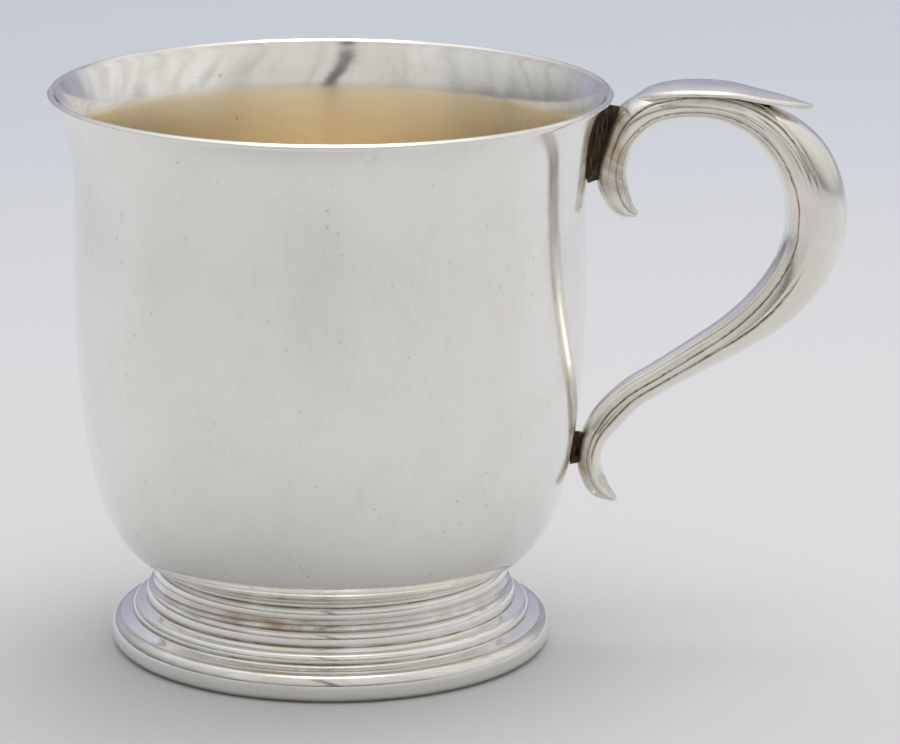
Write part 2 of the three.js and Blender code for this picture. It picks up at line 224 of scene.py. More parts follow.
def make_piece(name, verts, faces, tarnish, materials, sharp=38.0, face_slots=None):
    """A closed smooth-shaded mesh from millimetre points around the cup's axis."""
    mesh = bpy.data.meshes.new(name)
    mesh.from_pydata([((x + AXIS_X) * MM, y * MM, z * MM) for x, y, z in verts], [], faces)
    layer = mesh.attributes.new("tarnish", "FLOAT", "POINT")
    layer.data.foreach_set("value", tarnish)
    for material in materials:
        mesh.materials.append(material)
    if face_slots:
        mesh.polygons.foreach_set("material_index", face_slots)
    work = bmesh.new()
    work.from_mesh(mesh)
    bmesh.ops.remove_doubles(work, verts=work.verts, dist=1e-7)
    bmesh.ops.recalc_face_normals(work, faces=work.faces)
    work.to_mesh(mesh)
    work.free()
    mesh.polygons.foreach_set("use_smooth", [True] * len(mesh.polygons))
    mesh.set_sharp_from_angle(angle=math.radians(sharp))
    piece = bpy.data.objects.new(name, mesh)
    bpy.context.collection.objects.link(piece)
    return piece


def lathe(name, outline, materials, split=None, wobble=0.0, stain=None):
    """Spins a closed outline of (radius, height, tarnish) about the cup's axis.

    A stain (angle, spread, gain) deepens the tarnish on one side."""
    verts, tarnish, faces, slots = [], [], [], []
    count = len(outline)
    for step in range(AROUND):
        angle = 2 * math.pi * step / AROUND
        cosine, sine = math.cos(angle), math.sin(angle)
        deeper = 1.0
        if stain:
            off = (angle - stain[0] + math.pi) % (2 * math.pi) - math.pi
            deeper += stain[2] * math.exp(-((off / stain[1]) ** 2))
        for radius, height, soil in outline:
            inward = 0.0
            if wobble and radius > 1:
                probe = Vector((cosine * 1.3, sine * 1.3, height * 0.035))
                inward = wobble * (noise.noise(probe) + 1) / 2
            verts.append(((radius - inward) * cosine, (radius - inward) * sine, height))
            tarnish.append(min(soil * deeper, 1.0))
    for step in range(AROUND):
        this, after = step * count, ((step + 1) % AROUND) * count
        for i in range(count):
            j = (i + 1) % count
            if outline[i][0] == 0 and outline[j][0] == 0:
                continue
            corners = [this + i, after + i, after + j, this + j]
            if outline[i][0] == 0:
                corners = [this + i, after + j, this + j]
            elif outline[j][0] == 0:
                corners = [this + i, after + i, this + j]
            faces.append(corners)
            slots.append(1 if split is not None and i >= split else 0)
    return make_piece(name, verts, faces, tarnish, materials, face_slots=slots)


def skin(name, rings, soils, materials, sharp=38.0):
    """Skins closed rings of equal length, capped at both ends."""
    size = len(rings[0])
    verts = [point for ring in rings for point in ring]
    tarnish = [value for ring in soils for value in ring]
    faces = []
    for row in range(len(rings) - 1):
        for i in range(size):
            j = (i + 1) % size
            low, high = row * size, (row + 1) * size
            faces.append((low + i, low + j, high + j, high + i))
    faces.append(tuple(range(size)))
    last = (len(rings) - 1) * size
    faces.append(tuple(last + i for i in reversed(range(size))))
    return make_piece(name, verts, faces, tarnish, materials, sharp)


# Curves in the plane of radius and height


def lerp(a, b, share):
    return a + (b - a) * share


def bezier(corners, steps, soil=0.0, first=True):
    """Points of a quadratic or cubic Bezier curve as (radius, height, tarnish)."""
    points = []
    for step in range(0 if first else 1, steps + 1):
        share = step / steps
        level = list(corners)
        while len(level) > 1:
            level = [
                (lerp(a[0], b[0], share), lerp(a[1], b[1], share))
                for a, b in zip(level, level[1:])
            ]
        points.append((level[0][0], level[0][1], soil))
    return points


def bulge(start, end, stand, steps, soil=1.0):
    """Half-round moulding between two points, both left out; its roots are tarnished."""
    points = []
    for step in range(1, steps):
        angle = math.pi * step / steps
        share = (1 - math.cos(angle)) / 2
        radius = lerp(start[0], end[0], share) + stand * math.sin(angle)
        points.append((radius, lerp(start[1], end[1], share), soil * (1 - math.sin(angle)) ** 1.4))
    return points


def catmull(stations, share):
    """Point of a uniform Catmull-Rom curve through the stations."""
    place = share * (len(stations) - 1)
    index = min(int(place), len(stations) - 2)
    t = place - index
    last = len(stations) - 1
    four = [stations[min(max(index + k, 0), last)] for k in (-1, 0, 1, 2)]
    values = []
    for p0, p1, p2, p3 in zip(*four):
        v0, v1 = (p2 - p0) / 2, (p3 - p1) / 2
        cube = (2 * p1 - 2 * p2 + v0 + v1) * t**3
        square = (-3 * p1 + 3 * p2 - 2 * v0 - v1) * t**2
        values.append(cube + square + v0 * t + p1)
    return values


def smoothstep(low, high, value):
    share = min(max((value - low) / (high - low), 0.0), 1.0)
    return share * share * (3 - 2 * share)


# Materials


class Nodes:
    """Short way to write a node tree."""

    def __init__(self, tree):
        self.tree = tree
        tree.nodes.clear()

    def add(self, kind, inputs=None, output=0, **settings):
        node = self.tree.nodes.new(kind)
        for key, value in settings.items():
            setattr(node, key, value)
        for key, value in (inputs or {}).items():
            if isinstance(value, bpy.types.NodeSocket):
                self.tree.links.new(value, node.inputs[key])
            else:
                node.inputs[key].default_value = value
        return node if output is None or not node.outputs else node.outputs[output]

    def math(self, operation, *values, clamp=False):
        inputs = dict(enumerate(values))
        return self.add("ShaderNodeMath", inputs, operation=operation, use_clamp=clamp)

    def ramp(self, value, low, high, start=0.0, end=1.0):
        inputs = {"Value": value, "From Min": low, "From Max": high, "To Min": start, "To Max": end}
        return self.add("ShaderNodeMapRange", inputs, interpolation_type="SMOOTHSTEP")

    def mix(self, factor, a, b):
        node = self.tree.nodes.new("ShaderNodeMix")
        node.data_type = "RGBA"
        for index, value in ((0, factor), (6, a), (7, b)):
            if isinstance(value, bpy.types.NodeSocket):
                self.tree.links.new(value, node.inputs[index])
            else:
                node.inputs[index].default_value = value
        return node.outputs[2]


def rgb(red, green, blue):
    return (red, green, blue, 1.0)


def new_material(name):
    material = bpy.data.materials.new(name)
    material.use_nodes = True
    return material, Nodes(material.node_tree)


def object_mm(nodes):
    """Object coordinates in millimetres."""
    coords = nodes.add("ShaderNodeTexCoord", output=3)
    return nodes.add("ShaderNodeVectorMath", {0: coords, "Scale": 1 / MM}, operation="SCALE")


def noise_at(nodes, place, scale, detail=2.0, rough=0.5):
    inputs = {"Vector": place, "Scale": scale, "Detail": detail, "Roughness": rough}
    return nodes.add("ShaderNodeTexNoise", inputs)


# Weight of the radius beside the height, so that flat stretches are marked too.
SPUN_SLOPE = 0.7


def spun_place(nodes, place, around, across):
    """Coordinates that run along the marks of spinning, round the cup's axis."""
    offset = nodes.add("ShaderNodeVectorMath", {0: place, 1: (-AXIS_X, 0.0, 0.0)})
    parts = nodes.add("ShaderNodeSeparateXYZ", {"Vector": offset}, output=None)
    flat = nodes.add("ShaderNodeCombineXYZ", {0: parts.outputs[0], 1: parts.outputs[1], 2: 0.0})
    radius = nodes.add("ShaderNodeVectorMath", {0: flat}, output=1, operation="LENGTH")
    unit = nodes.add("ShaderNodeVectorMath", {0: flat}, operation="NORMALIZE")
    along = nodes.math("ADD", parts.outputs[2], nodes.math("MULTIPLY", radius, SPUN_SLOPE))
    level = nodes.math("MULTIPLY", along, across)
    turned = nodes.add("ShaderNodeVectorMath", {0: unit, "Scale": around}, operation="SCALE")
    lift = nodes.add("ShaderNodeCombineXYZ", {0: 0.0, 1: 0.0, 2: level})
    return nodes.add("ShaderNodeVectorMath", {0: turned, 1: lift})


def hairlines(nodes, place, turn, stretch, width):
    """Thin long scratches: the level lines of a stretched noise."""
    mapped = nodes.add("ShaderNodeMapping", {"Vector": place, "Rotation": turn, "Scale": stretch})
    value = noise_at(nodes, mapped, 1.0, 1.0, 0.4)
    off = nodes.math("ABSOLUTE", nodes.math("SUBTRACT", value, 0.5))
    return nodes.ramp(off, 0.0, width, 1.0, 0.0)


TARNISH_BROWN = rgb(0.16, 0.1, 0.06)
TARNISH_TAN = rgb(0.45, 0.33, 0.21)
MARK_GREY = rgb(0.6, 0.57, 0.52)
RUBBED_GREY = rgb(0.6, 0.59, 0.56)

# Wear scratches: turn, stretch and width.
HAIRLINES = [
    ((0.3, 0.5, 0.2), (3.2, 0.05, 3.2), 0.012),
    ((0.9, 1.4, 0.3), (2.7, 0.06, 2.7), 0.01),
    ((0.2, 0.1, 1.1), (2.7, 0.06, 2.7), 0.01),
    ((1.3, 0.7, 2.0), (2.7, 0.06, 2.7), 0.01),
]


def silver_material(name, clean, worn, look):
    """Polished silver with spinning marks, wear scratches, pits and tarnish.

    A look may add dings and rubbed grey on the outside, or gilding on the inside, with painted shade that
    darkens the gilding toward the bowl's floor."""
    material, nodes = new_material(name)
    place = object_mm(nodes)
    mottle = noise_at(nodes, place, look["patch"], 5.0, 0.62)
    grain = noise_at(nodes, place, 9.0, 3.0, 0.6)
    spun = noise_at(nodes, spun_place(nodes, place, 3.0, 5.0), 1.0, 3.0, 0.55)
    band = noise_at(nodes, spun_place(nodes, place, 5.0, 1.3), 1.0, 4.0, 0.6)
    lines = hairlines(nodes, place, *HAIRLINES[0])
    for scratch in HAIRLINES[1:]:
        lines = nodes.math("MAXIMUM", lines, hairlines(nodes, place, *scratch))
    patchy = nodes.math("MULTIPLY", lines, nodes.ramp(mottle, 0.25, 0.75))
    tarnish = nodes.add("ShaderNodeAttribute", attribute_name="tarnish", output=2)
    blotchy = nodes.math("ADD", nodes.math("MULTIPLY", band, 0.7), nodes.math("MULTIPLY", mottle, 0.5))
    streaky = nodes.ramp(blotchy, 0.45, 0.75)
    uneven = nodes.math("ADD", nodes.math("MULTIPLY", streaky, 0.75), 0.25)
    soiled = nodes.math("MULTIPLY", tarnish, uneven, clamp=True)
    base = nodes.mix(nodes.ramp(mottle, 0.35, 0.7), clean, worn)
    base = nodes.mix(nodes.ramp(spun, 0.3, 0.75, 0.0, look["marks"]), base, MARK_GREY)
    rough = nodes.ramp(mottle, 0.3, 0.75, *look["gloss"])
    pits = nodes.add("ShaderNodeTexVoronoi", {"Vector": place, "Scale": 0.14, "Randomness": 1.0})
    pit = nodes.ramp(pits, 0.02, 0.05, 1.0, 0.0)
    if "dings" in look:
        knocks = nodes.add("ShaderNodeTexVoronoi", {"Vector": place, "Scale": 0.42, "Randomness": 1.0})
        knock = nodes.ramp(knocks, 0.04, 0.13, 1.0, 0.0)
        worn_spot = nodes.ramp(mottle, 0.42, 0.56, 0.0, look["dings"])
        pit = nodes.math("MAXIMUM", pit, nodes.math("MULTIPLY", knock, worn_spot))
        upright = nodes.add("ShaderNodeMapping", {"Vector": place, "Scale": (1.3, 1.3, 0.4)})
        rubbed = nodes.ramp(noise_at(nodes, upright, 1.0, 3.0, 0.6), 0.42, 0.66)
        rubbed = nodes.math("MULTIPLY", rubbed, nodes.ramp(mottle, 0.4, 0.62, 0.0, 0.13))
        base = nodes.mix(rubbed, base, RUBBED_GREY)
    if "gilt" in look:
        gilt = look["gilt"]
        height = nodes.add("ShaderNodeSeparateXYZ", {"Vector": place}, output=2)
        wave = nodes.math("MULTIPLY", nodes.math("SUBTRACT", band, 0.5), gilt["wave"])
        washed = nodes.ramp(nodes.math("ADD", height, wave), gilt["low"], gilt["high"], 1.0, 0.0)
        gold = nodes.mix(nodes.ramp(band, 0.3, 0.7), gilt["color"], gilt["worn"])
        # Painted shade: the gilding darkens toward the bowl's floor, toning down the overhead reflection
        # there.
        gold = nodes.mix(nodes.ramp(height, *gilt["floor"]), gilt["painted_floor_shade"], gold)
        base = nodes.mix(washed, base, gold)
        rough = nodes.math("ADD", rough, nodes.math("MULTIPLY", washed, gilt["rough"]))
    base = nodes.mix(nodes.math("MULTIPLY", pit, 0.3), base, TARNISH_BROWN)
    base = nodes.mix(soiled, base, nodes.mix(streaky, TARNISH_BROWN, TARNISH_TAN))
    rough = nodes.math("ADD", rough, nodes.math("MULTIPLY", patchy, 0.04))
    rough = nodes.math("ADD", rough, nodes.math("MULTIPLY", soiled, 0.15))
    cut = nodes.math("MULTIPLY", patchy, look["scratch"])
    relief = nodes.math("SUBTRACT", nodes.math("MULTIPLY", grain, look["grain"]), cut)
    relief = nodes.math("ADD", relief, nodes.math("MULTIPLY", spun, look["spun"]))
    relief = nodes.math("SUBTRACT", relief, nodes.math("MULTIPLY", pit, 0.8))
    normal = nodes.add("ShaderNodeBump", {"Strength": 1.0, "Distance": 0.00001, "Height": relief})
    inputs = {"Base Color": base, "Metallic": 1.0, "Roughness": rough, "Normal": normal}
    if "gilt" in look:
        inputs["Anisotropic"] = nodes.math("MULTIPLY", washed, gilt["brushed"])
        inputs["Anisotropic Rotation"] = 0.25
        inputs["Tangent"] = nodes.add("ShaderNodeTangent", direction_type="RADIAL", axis="Z")
    shader = nodes.add("ShaderNodeBsdfPrincipled", inputs)
    nodes.add("ShaderNodeOutputMaterial", {"Surface": shader})
    return material


def solder_material():
    """Solder painted near black, partly its tarnish and partly painted shade of the gap between scroll and
    bowl, drawn out in fine upright folds.
    """
    material, nodes = new_material("solder_tarnish_and_gap_shade")
    place = object_mm(nodes)
    cloud = noise_at(nodes, place, 0.5, 4.0, 0.6)
    upright = nodes.add("ShaderNodeMapping", {"Vector": place, "Scale": (3.2, 2.2, 0.35)})
    folds = noise_at(nodes, upright, 1.0, 4.0, 0.6)
    # Tarnish with painted shade: the near-black colour also stands in for the shadowed gap at the joint.
    dark = nodes.mix(nodes.ramp(folds, 0.38, 0.62), rgb(0.012, 0.01, 0.008), rgb(0.13, 0.1, 0.075))
    base = nodes.mix(nodes.ramp(cloud, 0.45, 0.7), dark, rgb(0.1, 0.06, 0.03))
    rough = nodes.ramp(cloud, 0.3, 0.7, 0.25, 0.45)
    normal = nodes.add("ShaderNodeBump", {"Strength": 1.0, "Distance": 0.00015, "Height": folds})
    shader = nodes.add(
        "ShaderNodeBsdfPrincipled",
        {"Base Color": base, "Metallic": 0.85, "Roughness": rough, "Normal": normal},
    )
    nodes.add("ShaderNodeOutputMaterial", {"Surface": shader})
    return material


bowl_silver = silver_material(
    "bowl_silver", rgb(0.895, 0.885, 0.857), rgb(0.88, 0.868, 0.832),
    {
        "gloss": (0.02, 0.045), "scratch": 0.16, "grain": 0.25, "spun": 0.12, "marks": 0.05,
        "patch": 0.11, "dings": 0.9,
    },
)
gilt_silver = silver_material(
    "bowl_gilt", rgb(0.9, 0.885, 0.85), rgb(0.84, 0.82, 0.77),
    {
        "gloss": (0.04, 0.07), "scratch": 0.1, "grain": 0.1, "spun": 0.2, "marks": 0.15,
        "patch": 0.075,
        "gilt": {
            # The gilding's painted shade toward the bowl's floor, and its heights.
            "floor": (13.0, 26.0), "painted_floor_shade": rgb(0.74, 0.62, 0.42),
            "low": 68.9, "high": 71.0, "wave": 0.5, "rough": 0.2, "brushed": 0.94,
            "color": rgb(0.97, 0.86, 0.66), "worn": rgb(0.96, 0.84, 0.6),
        },
    },
)
foot_silver = silver_material(
    "foot_silver", rgb(0.93, 0.925, 0.9), rgb(0.9, 0.885, 0.85),
    {"gloss": (0.03, 0.06), "scratch": 0.3, "grain": 0.15, "spun": 0.35, "marks": 0.12, "patch": 0.12},
)
cast_silver = silver_material(
    "cast_silver", rgb(0.89, 0.875, 0.83), rgb(0.83, 0.81, 0.75),
    {"gloss": (0.07, 0.13), "scratch": 0.3, "grain": 0.35, "spun": 0.0, "marks": 0.1, "patch": 0.12},
)
solder = solder_material()


# Bowl and lip

wall_top = WALL_RADIUS - NECK_TUCK
floor_height = SEAT_HEIGHT - FLOOR_SAG
floor_curve = bezier([(0.0, floor_height), (FLOOR_FLAT_RADIUS, floor_height), (SEAT_RADIUS, SEAT_HEIGHT)], 16)
corner_curve = bezier(
    [
        (SEAT_RADIUS, SEAT_HEIGHT),
        (SEAT_RADIUS + CORNER_PULL, SEAT_HEIGHT + CORNER_RISE),
        (WALL_RADIUS, BELLY_HEIGHT - BELLY_PULL),
        (WALL_RADIUS, BELLY_HEIGHT),
    ],
    60,
    first=False,
)
wall_curve = [
    (lerp(WALL_RADIUS, wall_top, step / 16), lerp(BELLY_HEIGHT, NECK_HEIGHT, step / 16), 0.0)
    for step in range(1, 16)
]
flare_curve = bezier(
    [
        (wall_top, NECK_HEIGHT),
        (wall_top, NECK_HEIGHT + NECK_BEND),
        (LIP_RADIUS - FLARE_RUN, RIM_HEIGHT - FLARE_DROP),
        (LIP_RADIUS, RIM_HEIGHT - WALL_THICKNESS),
    ],
    28,
)
bowl_outside = floor_curve + corner_curve + wall_curve + flare_curve
bowl_outside[0] = (0.0, bowl_outside[0][1], 0.0)


def sheet_inside(outside):
    """Moves each point of an open outline inward across the sheet, thinner at the lip."""
    inside = []
    for i, (radius, height, _) in enumerate(outside):
        taper = smoothstep(RIM_HEIGHT - LIP_TAPER[0], RIM_HEIGHT - LIP_TAPER[1], height)
        thickness = lerp(WALL_THICKNESS, LIP_THICKNESS, taper)
        before, after = outside[max(i - 1, 0)], outside[min(i + 1, len(outside) - 1)]
        run, rise = after[0] - before[0], after[1] - before[1]
        length = math.hypot(run, rise)
        inner = 0.0 if radius == 0 else radius - rise / length * thickness
        inside.append((inner, height + run / length * thickness, 0.0))
    return inside


def bowl_radius_at(height):
    for low, high in zip(bowl_outside, bowl_outside[1:]):
        if low[1] <= height < high[1]:
            return lerp(low[0], high[0], (height - low[1]) / (high[1] - low[1]))
    return LIP_RADIUS


def make_bowl():
    """The spun sheet; its inside, from the lip down, has the gilt material."""
    inside = sheet_inside(bowl_outside)
    inside[-1:] = [(LIP_RADIUS - run, RIM_HEIGHT - drop, 0.0) for run, drop in LIP_EDGE]
    outline = bowl_outside + inside[::-1]
    return lathe("bowl_sheet", outline, [bowl_silver, gilt_silver], split=len(bowl_outside), wobble=0.05)


def make_lip():
    """Wire round the lip, with a facet along its upper outside that mirrors the light above."""
    low, high = (LIP_RADIUS, WIRE_LOW, LIP_ROOT_SOIL), (LIP_RADIUS, RIM_HEIGHT, 0.0)
    knee = WIRE_LOW + (RIM_HEIGHT - WIRE_LOW) * LIP_KNEE
    facet = [(WIRE_RADIUS - inset, RIM_HEIGHT - drop) for inset, drop in LIP_FACET]
    wire = bezier([low[:2], (WIRE_RADIUS, WIRE_LOW), (WIRE_RADIUS, knee), facet[0]], 12, first=False)
    wire += [(radius, height, 0.0) for radius, height in facet[1:]]
    wire += bezier([facet[-1], (WIRE_RADIUS - LIP_ROUND, RIM_HEIGHT), high[:2]], 6, first=False)[:-1]
    return lathe("lip_wire", [low] + wire + [high], [bowl_silver])


# Foot


def make_collar():
    low, high = (GROOVE_RADIUS, COLLAR_BASE, 1.0), (SEAT_RADIUS, SEAT_HEIGHT, 0.8)
    outline = [low] + bulge(low, high, COLLAR_STAND, 12) + [high]
    inner = SEAT_RADIUS - COLLAR_THICKNESS
    slope_in, slope_out = floor_curve[-3], floor_curve[-1]
    share = (inner - slope_in[0]) / (slope_out[0] - slope_in[0])
    inner_height = lerp(slope_in[1], slope_out[1], share) - 0.03
    outline += [(inner, inner_height, 0.5), (inner, COLLAR_BASE, 0.5)]
    return lathe("collar_ring", outline, [foot_silver])


def ridge_points(top, ridge):
    """Slope, rounded upright nose and undercut of one ridge."""
    run, height, undercut = ridge["run"], ridge["height"], ridge["undercut"]
    corner = (top[0] + run * ridge["corner"][0], top[1] - height * ridge["corner"][1])
    nose = (top[0] + run - undercut * 0.4, top[1] - height * ridge["nose"])
    base = (top[0] + run - undercut, top[1] - height)
    points = bezier([top[:2], corner], 5, first=False)
    points += bezier(
        [
            corner,
            (lerp(corner[0], nose[0], 0.6), lerp(corner[1], nose[1], 0.2)),
            (nose[0], lerp(corner[1], nose[1], 0.5)),
            nose,
        ],
        14,
        first=False,
    )
    points += bezier([nose, (nose[0], lerp(nose[1], base[1], 0.6)), base], 5, first=False)
    last = len(points) - 1
    return [(r, z, smoothstep(0.84, 1.0, i / last) * 0.85) for i, (r, z, _) in enumerate(points)]


def make_shell():
    cove_base = SHELL_BASE + sum(ridge["height"] for ridge in RIDGES)
    top = (GROOVE_RADIUS, COLLAR_BASE, 1.0)
    cove_top = (COVE_RADIUS, cove_base + COVE_HEIGHT, 0.8)
    cove_end = (RIDGE_RADIUS, cove_base)
    cove = bezier([cove_top[:2], (cove_top[0], cove_end[1]), cove_end], 16, soil=0.4)
    outline = [top] + bulge(top, cove_top, BEAD_STAND, 12) + cove
    for ridge in RIDGES:
        outline += ridge_points(outline[-1], ridge)
    hollow_top = (GROOVE_RADIUS - FOOT_SHEET, COLLAR_BASE)
    hollow_end = (FOOT_RADIUS - FOOT_SHEET, SHELL_BASE)
    hollow = bezier(
        [
            hollow_top,
            (hollow_top[0], hollow_top[1] - 4.5),
            (hollow_end[0] - 3.1, hollow_end[1] + 1.1),
            hollow_end,
        ],
        24,
        soil=0.4,
    )
    return lathe("foot_shell_ridges", outline + hollow[::-1], [foot_silver], stain=FOOT_STAIN)


def make_foot_bead():
    land_out = (FOOT_RADIUS - FOOT_LAND_INSET, 0.0, 0.8)
    land_in = (land_out[0] - FOOT_LAND_WIDTH, 0.0, 0.8)
    seat_out = (FOOT_RADIUS, BEAD_TOP, 0.8)
    seat_in = (FOOT_RADIUS - FOOT_SHEET, BEAD_TOP, 0.5)
    outside = bulge(land_out, seat_out, FOOT_WIRE_BULGE, 24, soil=0.8)
    inside = bulge(seat_in, land_in, -FOOT_WIRE_BULGE, 16, soil=0.8)
    outline = [land_out] + outside + [seat_out, seat_in] + inside + [land_in]
    return lathe("foot_bead", outline, [foot_silver])


# Handle


def path_frame(stations, share):
    """Middle, direction and sizes at a share of the path."""
    step = 1e-4
    here = catmull(stations, share)
    before, after = catmull(stations, max(share - step, 0)), catmull(stations, min(share + step, 1))
    run, rise = after[0] - before[0], after[1] - before[1]
    length = math.hypot(run, rise)
    return here, (run / length, rise / length)


def fade(span, share):
    """Rises from 0 to 1 and falls back between the four shares of the span."""
    return smoothstep(span[0], span[1], share) * (1 - smoothstep(span[2], span[3], share))


def section_line(depth, width):
    """Smooth half section, (across, side), before any line is cut into it."""
    inner = -depth / 2
    reed = inner + min(INNER_REED_INSET, depth * INNER_REED_SHARE)
    shoulder = lerp(reed, depth / 2, SHOULDER)
    line = []
    for step in range(13):
        angle = math.pi / 2 * step / 12
        line.append((lerp(shoulder, depth / 2, math.cos(angle)), width / 2 * math.sin(angle)))
    for place, side in zip((0.7, 0.35, 0.0), BAND_SIDES):
        line.append((lerp(reed, shoulder, place), side * width / 2))
    for place, side in zip((0.75, 0.5, 0.25, 0.07), BEAD_SIDES):
        line.append((lerp(inner, reed, place), side * width / 2))
    return line + [(inner, 0.0)]


def resample(line, count):
    """Evenly spaced points of a smooth curve through the line's points."""
    fine = [catmull(line, step / (count * 4)) for step in range(count * 4 + 1)]
    lengths = [0.0]
    for a, b in zip(fine, fine[1:]):
        lengths.append(lengths[-1] + math.dist(a, b))
    points, index = [], 0
    for step in range(count + 1):
        goal = lengths[-1] * step / count
        while index < len(fine) - 2 and lengths[index + 1] < goal:
            index += 1
        span = max(lengths[index + 1] - lengths[index], 1e-9)
        share = min((goal - lengths[index]) / span, 1.0)
        points.append([lerp(a, b, share) for a, b in zip(fine[index], fine[index + 1])])
    return points, lengths[-1] / count


def groove(offset, half_width):
    share = min(abs(offset) / half_width, 1.0)
    return (1 - share * share) ** 2


def handle_half(depth, width, reed_place, share):
    """Half of the handle's section, (across, side, tarnish), from the spine's middle."""
    points, pitch = resample(section_line(depth, width), SECTION_POINTS)
    inner = -depth / 2
    insets = [across - inner for across, _ in points]
    scale = min(width / 6.0, 1.0)
    outer_at = depth * reed_place
    inner_at = min(INNER_REED_INSET, depth * INNER_REED_SHARE)
    crossings = [next(i for i, inset in enumerate(insets) if inset <= goal) for goal in (outer_at, inner_at)]
    outer_depth = REED_DEPTH * scale * (1 - fade(REED_GAP, share)) * fade(REED_ENDS, share)
    flutes = FLUTE_DEPTH * fade(FLUTE_FADE, share)
    half = []
    for i, (across, side) in enumerate(points):
        before, after = points[max(i - 1, 0)], points[min(i + 1, len(points) - 1)]
        run, rise = after[0] - before[0], after[1] - before[1]
        length = math.hypot(run, rise)
        reed = outer_depth * groove((i - crossings[0]) * pitch, REED_HALF_WIDTH)
        reed = max(reed, REED_DEPTH * scale * groove((i - crossings[1]) * pitch, REED_HALF_WIDTH))
        ripple = 0.0
        if FLUTE_INSETS[0] < insets[i] < min(FLUTE_INSETS[1], depth - 0.25):
            phase = (insets[i] - FLUTE_INSETS[0]) / FLUTE_PITCH * 2 * math.pi
            ripple = flutes * ((1 - math.cos(phase)) / 2) ** 1.5
        sunk = max(reed, ripple)
        soil = min(reed / 0.22 + ripple / 0.5, 1.0)
        if i == 0 or i == len(points) - 1:
            half.append((across, 0.0, 0.0))
        else:
            half.append((across + rise / length * -sunk, side + run / length * sunk, soil))
    return half


def joint_soil(point):
    """Tarnish of a point on a scroll, from how near it is to the solder on the bowl."""
    soil = 0.0
    for low, high in SOLDER_BOXES:
        out = max(0.0, math.hypot(point[0], point[1]) - (high[0] - AXIS_X))
        past = max(0.0, low[2] - point[2], point[2] - high[2])
        soil = max(soil, 1 - math.hypot(out, past) / JOINT_SOIL_REACH)
    return soil * JOINT_SOIL


def make_handle():
    rings, soils = [], []
    for step in range(HANDLE_STEPS + 1):
        share = step / HANDLE_STEPS
        (out, height, depth, width, reed), (run, rise) = path_frame(HANDLE_STATIONS, share)
        half = handle_half(depth, width, reed, share)
        section = half + [(a, -s, t) for a, s, t in half[-2:0:-1]]
        ring = [(out - rise * a, -s, height + run * a) for a, s, _ in section]
        rings.append(ring)
        soils.append([min(max(t, joint_soil(point)), 1.0) for (_, _, t), point in zip(section, ring)])
    return skin("scroll_handle", rings, soils, [cast_silver], sharp=50)


def leaf_section(width, thick, widest, dish):
    """Closed section of the leaf, (across, side, tarnish), seen along the handle."""
    edge = min(LEAF_EDGE, thick)
    dome = LEAF_DOME * width / widest
    keel = thick - dome - edge
    bevel = min(LEAF_BEVEL, width * 0.12)
    crown_half = width / 2 - bevel
    crown = []
    for i in range(LEAF_HALF + 1):
        side = i / LEAF_HALF
        hollow = dish * (1 - smoothstep(0.0, 1.0, side * crown_half / LEAF_DISH[2]))
        crown.append((-dome * side**2 - hollow, side * crown_half, 0.0))
    fall = min(LEAF_CHAMFER, edge * 0.62)
    rim = [
        (-dome - fall * 0.2, crown_half + bevel * 0.3, 0.0),
        (-dome - fall * 0.62, crown_half + bevel * 0.7, 0.0),
        (-dome - fall, width / 2 - bevel * 0.04, 0.0),
        (-dome - edge * 0.75, width / 2, 0.1),
        (-dome - edge * 0.95, width / 2 - bevel * 0.1, 0.3),
    ]
    under = []
    for i in range(LEAF_HALF, -1, -1):
        side = i / LEAF_HALF
        under.append((-dome - edge - keel * (1 - side), side * (width / 2 - bevel * 0.3), 0.9 * (1 - side)))
    right = crown + rim + under
    return right + [(across, -side, soil) for across, side, soil in right[-2:0:-1]]


def make_leaf():
    widest = max(station[2] for station in LEAF_STATIONS)
    rings, soils = [], []
    for step in range(LEAF_STEPS + 1):
        (out, height, width, thick), (run, rise) = path_frame(LEAF_STATIONS, step / LEAF_STEPS)
        across_dish = abs(out - LEAF_DISH[0]) / LEAF_DISH[1]
        dish = LEAF_DISH[3] * (1 - smoothstep(0.0, 1.0, across_dish))
        section = leaf_section(width, thick, widest, dish)
        rings.append([(out - rise * a, -s, height + run * a) for a, s, _ in section])
        soils.append([t for _, _, t in section])
    return skin("leaf_cap", rings, soils, [cast_silver], sharp=40)


# Solder


def make_solder(name, node, lump_size, lower_rise):
    """Folded pillow of solder from the bowl's wall to the scroll, inside its node's box.

    Its lower end rises toward the scroll by a share of its half height."""
    low, high = box_mm(node)
    middle, half_height = (low[2] + high[2]) / 2, (high[2] - low[2]) / 2
    half_width = (high[1] - low[1]) / 2
    reach = high[0] - AXIS_X
    rings, soils = [], []
    for step in range(SOLDER_STEPS + 1):
        share = step / SOLDER_STEPS
        size = 1 - SOLDER_NARROWING[0] * share ** SOLDER_NARROWING[1]
        ring = []
        for i in range(SOLDER_AROUND):
            angle = 2 * math.pi * i / SOLDER_AROUND
            probe = Vector((share * 9, math.cos(angle) * 1.5, math.sin(angle) * 0.8))
            lump = 1 - lump_size * (noise.noise(probe) + 1)
            side = math.cos(angle) * half_width * size * lump
            drawn_in = SOLDER_UPPER_DRAW if math.sin(angle) > 0 else lower_rise
            height = middle + math.sin(angle) * half_height * (1 - drawn_in * share)
            wall = math.sqrt(bowl_radius_at(height) ** 2 - side**2) - SOLDER_SINK
            ring.append((lerp(wall, max(reach, wall + SOLDER_STAND), share), side, height))
        rings.append(ring)
        soils.append([0.0] * SOLDER_AROUND)
    return skin(name, rings, soils, [solder])


